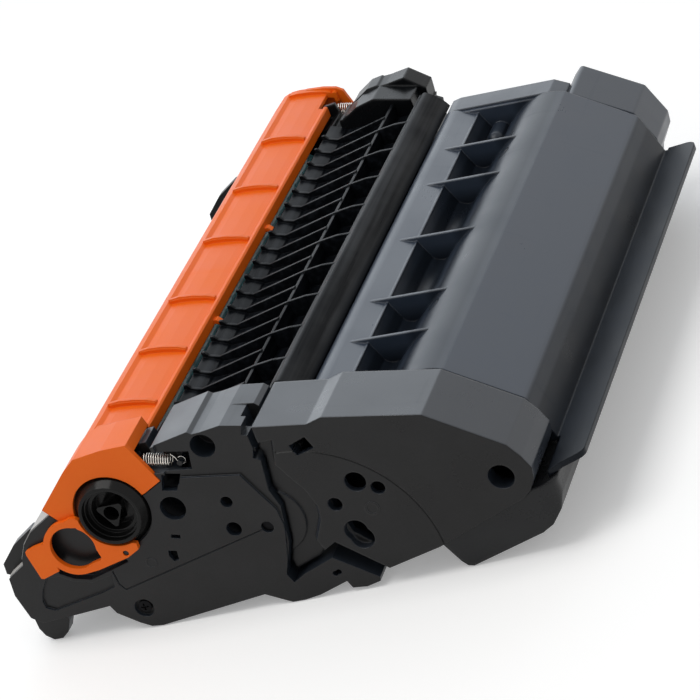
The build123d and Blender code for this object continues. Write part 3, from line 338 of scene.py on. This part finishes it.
def hopper_shade_share(finish):
    """The share of painted shade on the hopper's shell: 0 on its roof, up to 1 on its low, steep and
    pocketed faces.

    It is the sum of these shares of painted shade, held at 1: the low faces, the bevel on the right, the
    flank of the hump, painted darkest where it is steep, the channel's pockets, and the rims of the ejector
    marks.
    """
    low = finish.band(finish.side("Z"), 38.0 * MM, 45.0 * MM, 1.0, 0.0)
    bevel = finish.band(finish.turned("X"), 0.74, 0.92, 0.0, 0.78)
    on_hump = finish.band(finish.side("X"), 50.0 * MM, 54.0 * MM)
    flank = finish.band(finish.turned("X"), 0.20, 0.48, 0.60, 0.0)
    steep_flank = finish.band(finish.turned("X"), -0.65, -0.35, 0.20, 0.0)
    below_rim = finish.band(finish.side("Z"), 60.0 * MM, 67.0 * MM, 1.0, 0.0)
    hump = (flank + steep_flank) * on_hump
    pockets = below_rim * (1.0 - on_hump)
    rims = ejector_rings(finish) * 0.9
    return finish.band(low + bevel + hump + pockets + rims, 0.0, 1.0)


# Finishes
# Painted shade: faces turned to the near end get a dark neutral copy; the bluish main colour is the lit
# copy.
near_end_painted_shade = (near_end, (0.0080, 0.0080, 0.0084), 0.26)
# Painted shade: the hopper's low, steep and pocketed faces and ejector rims get a darker, less glossy copy.
hopper_painted_shade = (hopper_shade_share, (0.0070, 0.0095, 0.0140), 0.12)
black = moulded(
    "black_moulding", (0.016, 0.0210, 0.029), (0.024, 0.029, 0.037), 0.30, level=0.50, painted_shade=near_end_painted_shade)
cap_black = moulded(
    "cap_moulding", (0.017, 0.0220, 0.031), (0.025, 0.030, 0.039), 0.27, edge=1.2, level=0.50,
    marks=arc_groove, painted_shade=near_end_painted_shade)
base_black = moulded(
    "base_moulding", (0.0085, 0.0090, 0.0100), (0.017, 0.018, 0.019), 0.26, edge=2.5, level=0.27)
inner_black = streaked(
    "inner_moulding", (0.0040, 0.0048, 0.0062), 0.32, top_low=70.5, top_high=73.0)
glossy_black = moulded(
    "coupling_moulding", (0.004, 0.004, 0.004), (0.007, 0.007, 0.007), 0.15, grain=0.001, edge=0.4,
    level=0.16)
far_black = moulded(
    "far_moulding", (0.0045, 0.0052, 0.0062), (0.010, 0.011, 0.012), 0.24, edge=1.5, level=0.13)
hopper_grey = moulded(
    "hopper_moulding", (0.027, 0.0380, 0.0580), (0.034, 0.045, 0.066), 0.29, edge=1.0, level=0.52,
    marks=ejector_marks, painted_shade=hopper_painted_shade)
cap_grey = moulded(
    "far_cap_moulding", (0.022, 0.0300, 0.0450), (0.030, 0.038, 0.052), 0.29, edge=1.2, level=0.45)
orange = moulded(
    "orange_moulding", (0.87, 0.140, 0.006), (0.89, 0.165, 0.012), 0.36, level=0.18)
white = moulded("bearing_moulding", (0.72, 0.70, 0.64), (0.60, 0.58, 0.52), 0.45)
steel = metal("plated_steel", (0.62, 0.62, 0.60), 0.28)
nickel = metal("spring_wire", (0.80, 0.77, 0.72), 0.18, edge=0.0)
dark_steel = metal("blackened_steel", (0.012, 0.012, 0.013), 0.35)
drum_coat = coated("drum_coating", (0.22, 0.66, 0.74), 0.22)
dark_rubber = rubber("roller_rubber", (0.020, 0.020, 0.020), 0.55)
blade_rubber = rubber("blade_rubber", (0.32, 0.22, 0.09), 0.45)
film = moulded("bare_film", (0.42, 0.41, 0.40), (0.52, 0.51, 0.49), 0.40, edge=0.0)
sheet = moulded("clear_sheet", (0.55, 0.52, 0.42), (0.62, 0.60, 0.50), 0.25, edge=0.0)

node_finishes = {
    black: ("side_plate_near",),
    inner_black: ("guide_rail", "agitator_shaft"),
    far_black: ("side_plate_far",),
    cap_black: ("hopper_cap_near",),
    base_black: ("hopper_base", "waste_bin"),
    glossy_black: ("drum_coupling", "drum_collar", "drum_flange_far"),
    hopper_grey: ("hopper_shell",),
    cap_grey: ("hopper_cap_far", "fill_plug"),
    orange: ("drum_cover", "pull_ring"),
    white: ("developer_bush_near", "developer_bush_far", "charge_holder_near", "charge_holder_far"),
    steel: ("developer_shaft", "charge_shaft", "drum_pin", "doctor_bracket", "blade_bracket"),
    nickel: ("spring_near", "spring_far"),
    dark_steel: ("pivot_pin_near", "pivot_pin_far", "side_screws"),
    drum_coat: ("opc_drum",),
    dark_rubber: ("charge_roller", "developer_sleeve", "doctor_blade"),
    blade_rubber: ("cleaning_blade",),
    film: ("front_film",),
    sheet: ("agitator_sheet",),
}
for material, names in node_finishes.items():
    for name in names:
        node_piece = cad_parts[name]
        node_piece.data.materials.clear()
        node_piece.data.materials.append(material)


# Fine pieces
def piece_of(name, points, quads, polygons, material, body):
    """An object from numpy points, smooth four-sided faces and a few flat many-sided ones at its ends."""
    faces = quads.tolist() + [list(polygon) for polygon in polygons]
    mesh = bpy.data.meshes.new(name)
    mesh.from_pydata(points.tolist(), [], faces)
    mesh.polygons.foreach_set("use_smooth", np.arange(len(faces)) < len(quads))
    mesh.materials.append(material)
    made = bpy.data.objects.new(name, mesh)
    bpy.context.scene.collection.objects.link(made)
    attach(made, body)
    return made


def wire(path, across, radius, first):
    """A round wire along a path, closed by a flat cut at both ends; its points are numbered from first.

    Ring point k of path point i is path(i) + radius * (cos(a) * u + sin(a) * v), with a = 2 pi k / count.
    u is the given direction across the path, made square to it, and v is square to both.
    """
    count = 10
    along = np.gradient(path, axis=0)
    along = along / np.linalg.norm(along, axis=1, keepdims=True)
    u = across - along * np.sum(across * along, axis=1, keepdims=True)
    u = u / np.linalg.norm(u, axis=1, keepdims=True)
    v = np.cross(along, u)
    angle = np.linspace(0.0, 2 * np.pi, count, endpoint=False)[None, :, None]
    ring = u[:, None, :] * np.cos(angle) + v[:, None, :] * np.sin(angle)
    points = (path[:, None, :] + radius * ring).reshape(-1, 3)
    i, k = np.meshgrid(np.arange(len(path) - 1), np.arange(count), indexing="ij")
    corner = first + i * count + k
    beside = first + i * count + (k + 1) % count
    quads = np.stack([corner, beside, beside + count, corner + count], axis=-1).reshape(-1, 4)
    last = first + (len(path) - 1) * count
    ends = [range(first + count - 1, first - 1, -1), range(last, last + count)]
    return points, quads, ends


# The two posts that a spring stands on, by x and z in millimetres
spring_posts = ((-47.8, 73.6), (-29.2, 69.3))


def spring(name, y_mid, stands_for, body):
    """A tension spring: a coil between the two posts of an end plate, with an open loop round each post.

    The coil point at share s has angle 2 pi * turns * s and moves evenly along the line between the posts.
    Each loop is an arc round its post, in the plane square to it, joined to the coil by a hook.
    The hook point at share b is tip + (foot - tip) * b, moved towards its post by bow * sin(pi * b).
    """
    turns = 11
    points_per_turn = 26
    hook_points = 12
    loop_points = 40
    coil_radius = 2.45 * MM
    wire_radius = 0.22 * MM
    loop_radius = 1.68 * MM
    loop_start = -0.35
    loop_end = -5.6
    foot_along = 0.94 * loop_radius
    foot_below = 0.34 * loop_radius
    hook_bow = 0.35 * MM
    neck = 4.1 * MM
    start, end = (np.array((x * MM, y_mid * MM, z * MM)) for x, z in spring_posts)
    run = end - start
    length = np.linalg.norm(run)
    run = run / length
    out = np.array((0.0, -1.0, 0.0))
    rise = np.cross(run, out)
    rise = rise * np.sign(rise[2])

    share = np.linspace(0.0, 1.0, turns * points_per_turn + 1)[:, None]
    angle = 2 * np.pi * turns * share
    radial = rise * np.cos(angle) + out * np.sin(angle)
    coil = start + run * (neck + (length - 2 * neck) * share) + coil_radius * radial
    parts = [(coil, radial)]
    for post, way, tip in ((start, run, coil[0]), (end, -run, coil[-1])):
        bend = np.linspace(0.0, 1.0, hook_points)[:, None]
        foot = post + way * foot_along - rise * foot_below
        hook = tip + (foot - tip) * bend - way * hook_bow * np.sin(np.pi * bend)
        turn = np.linspace(loop_start, loop_end, loop_points)[:, None]
        loop = post + loop_radius * (way * np.cos(turn) + rise * np.sin(turn))
        path = np.vstack([hook[:-1], loop])
        parts.append((path, np.tile(out, (len(path), 1))))

    points = []
    quads = []
    ends = []
    count = 0
    for path, across in parts:
        more, squares, cuts = wire(path, across, wire_radius, count)
        count += len(more)
        points.append(more)
        quads.append(squares)
        ends.extend(cuts)
    made = piece_of(name, np.vstack(points), np.vstack(quads), ends, nickel, body)
    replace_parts(made, stands_for)


def screw_head(name, x, y, z, outward, body):
    """A round screw head with a cross recess, on a seat at y that faces outward along Y, 1 or -1.

    Height over the seat at radius r is a dome, crown - edge_drop * (r / head_radius) ** 4.
    In the cross it is at most crown - recess * wide * long. There, wide falls from 1 to 0 on the slopes at
    the slot's sides, and long does so at its ends. The last ring goes straight down into the seat.
    """
    head_radius = 2.9 * MM
    crown = 0.9 * MM
    edge_drop = 0.35 * MM
    recess = 0.8 * MM
    slot_half_width = 0.42 * MM
    slot_half_length = 1.75 * MM
    side_slope = 0.15 * MM
    end_slope = 0.35 * MM
    root = 0.5 * MM
    first_ring = 0.05
    rings = 26
    count = 96
    radius = np.concatenate([np.linspace(first_ring, 1.0, rings), [1.0]]) * head_radius
    angle = np.linspace(0.0, 2 * np.pi, count, endpoint=False)
    r, a = np.meshgrid(radius, angle, indexing="ij")
    across = r * np.cos(a)
    up = r * np.sin(a)
    height = crown - edge_drop * (r / head_radius) ** 4
    for one, other in ((across, up), (up, across)):
        wide = np.clip((slot_half_width - np.abs(one)) / side_slope, 0.0, 1.0)
        long = np.clip((slot_half_length - np.abs(other)) / end_slope, 0.0, 1.0)
        height = np.minimum(height, crown - recess * wide * long)
    height[-1] = -root
    points = np.stack([x * MM + across, y * MM + outward * height, z * MM + up], axis=-1)
    points = points.reshape(-1, 3)
    i, k = np.meshgrid(np.arange(len(radius) - 1), np.arange(count), indexing="ij")
    corner = i * count + k
    beside = i * count + (k + 1) % count
    quads = np.stack([corner, corner + count, beside + count, beside], axis=-1).reshape(-1, 4)
    last = (len(radius) - 1) * count
    ends = [range(count), range(last + count - 1, last - 1, -1)]
    if outward > 0:
        quads = quads[:, ::-1]
        ends = [end[::-1] for end in ends]
    return piece_of(name, points, quads, ends, dark_steel, body)


def pocket(name, outline, body):
    """A blind pocket behind an opening of the near end plate: a cup open to the front that shades the
    opening, in the darkest moulding as painted shade for its depth.

    Wall point k at level j is outline(k) + grow(j) * the unit direction from the centre to it, at the y of
    that level. The levels run from the inner rim to the floor, then from its back to the outer rim.
    """
    front = -156.95
    floor = -149.5
    gap = 0.2
    wall = 0.8
    outline = np.array(outline) * MM
    centre = outline.mean(axis=0)
    away = outline - centre
    unit = away / np.linalg.norm(away, axis=1, keepdims=True)
    levels = ((gap, front), (gap, floor), (gap + wall, floor + wall), (gap + wall, front))
    rings = [np.insert(outline + unit * grow * MM, 1, y * MM, axis=1) for grow, y in levels]
    points = np.vstack(rings)
    count = len(outline)
    k = np.arange(count)
    beside = (k + 1) % count
    quads = []
    for a, b in ((0, 1), (2, 3), (3, 0)):
        corners = [a * count + k, a * count + beside, b * count + beside, b * count + k]
        quads.append(np.stack(corners, axis=-1))
    ends = [range(count, 2 * count), range(3 * count - 1, 2 * count - 1, -1)]
    return piece_of(name, points, np.vstack(quads), ends, inner_black, body)


# Openings of the near end plate: x, z and radius of the round ones, x and z of the others' corners
round_openings = ((-38.8, 51.5, 5.4), (-15.9, 49.8, 2.5), (-17.6, 37.3, 3.2))
cornered_openings = (
    ((-40.0, 60.1), (-33.9, 58.8), (-30.1, 65.4), (-37.5, 67.0)),
    ((-49.1, 30.5), (-48.0, 27.9), (-45.6, 28.4), (-45.0, 32.4), (-48.6, 33.3)),
)
circle_points = 40
around = np.linspace(0.0, 2 * np.pi, circle_points, endpoint=False)
# Painted shade: dark pockets behind the openings make them read as deep, dark holes.
for number, (x, z, radius) in enumerate(round_openings, 1):
    circle = np.column_stack([x + radius * np.cos(around), z + radius * np.sin(around)])
    pocket(f"plate_pocket_round_{number}", circle, "drum_unit")
for number, corners in enumerate(cornered_openings, 1):
    pocket(f"plate_pocket_square_{number}", corners, "drum_unit")
spring("spring_coil_near", -155.0, "spring_near", "drum_unit")
spring("spring_coil_far", 152.0, "spring_far", "drum_unit")
screw_x = -69.2
screw_z = 9.4
for name, y, outward in (("side_screw_near", -158.6, -1.0), ("side_screw_far", 155.6, 1.0)):
    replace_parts(screw_head(name, screw_x, y, screw_z, outward, "drum_unit"), "side_screws")


# Floor, light and camera
def set_down(holder, right, up, back, place):
    """Turns an object so that its own three axes are right, up and back, and puts it at a place."""
    rows = [(right[i], up[i], back[i], place[i]) for i in range(3)]
    holder.matrix_world = Matrix(rows + [(0, 0, 0, 1)])


def softbox(name, place, width, height, power, colour):
    """A rectangular lamp at a place, turned towards the object's middle."""
    aim = (0.0, 0.0, 0.05)
    lengthwise = (0.0, 1.0, 0.001)
    lamp = bpy.data.lights.new(name, "AREA")
    lamp.shape = "RECTANGLE"
    lamp.size = width
    lamp.size_y = height
    lamp.energy = power
    lamp.color = colour
    holder = bpy.data.objects.new(name, lamp)
    bpy.context.scene.collection.objects.link(holder)
    back = np.array(place) - np.array(aim)
    back = back / np.linalg.norm(back)
    side = np.cross(lengthwise, back)
    side = side / np.linalg.norm(side)
    set_down(holder, side, np.cross(back, side), back, place)


floor_reach = 4.0
floor_z = -0.4 * MM
floor_corners = [
    (-floor_reach, -floor_reach, floor_z),
    (floor_reach, -floor_reach, floor_z),
    (floor_reach, floor_reach, floor_z),
    (-floor_reach, floor_reach, floor_z),
]
floor_mesh = bpy.data.meshes.new("floor")
floor_mesh.from_pydata(floor_corners, [], [(0, 1, 2, 3)])
floor_mesh.materials.append(paper("floor_paper", (0.90, 0.90, 0.90), 0.9))
floor = bpy.data.objects.new("floor", floor_mesh)
bpy.context.scene.collection.objects.link(floor)

# White where it is looked at, and a plain soft light on the object
sky_light = 0.45
sky = Nodes(bpy.data.worlds.new("studio"))
strength = sky.band(sky.looked_at(), 0.0, 1.0, sky_light, 1.0)
background = sky.node("ShaderNodeBackground", None, {"Color": (1.0, 1.0, 1.0), "Strength": strength})
sky.node("ShaderNodeOutputWorld", None, {"Surface": background.outputs[0]})
bpy.context.scene.world = sky.owner

softbox("key", (-0.35, -0.30, 1.30), width=0.9, height=0.9, power=8.0, colour=(1.0, 0.99, 0.97))
softbox("window", (-0.65, 1.9, 1.15), width=2.4, height=1.4, power=11.0, colour=(0.80, 0.90, 1.0))

camera_data = bpy.data.cameras.new("camera")
camera_data.lens = 183.1
camera_data.sensor_width = 36.0
camera_data.clip_start = 0.05
camera_data.clip_end = 20.0
camera = bpy.data.objects.new("camera", camera_data)
bpy.context.scene.collection.objects.link(camera)
camera_right = (0.90453, 0.24575, -0.34846)
camera_up = (0.18760, 0.50452, 0.84277)
camera_back = (0.38292, -0.82769, 0.41025)
camera_place = (0.571875, -1.270052, 0.654011)
set_down(camera, camera_right, camera_up, camera_back, camera_place)
bpy.context.scene.camera = camera
bpy.context.scene.view_settings.view_transform = "Standard"
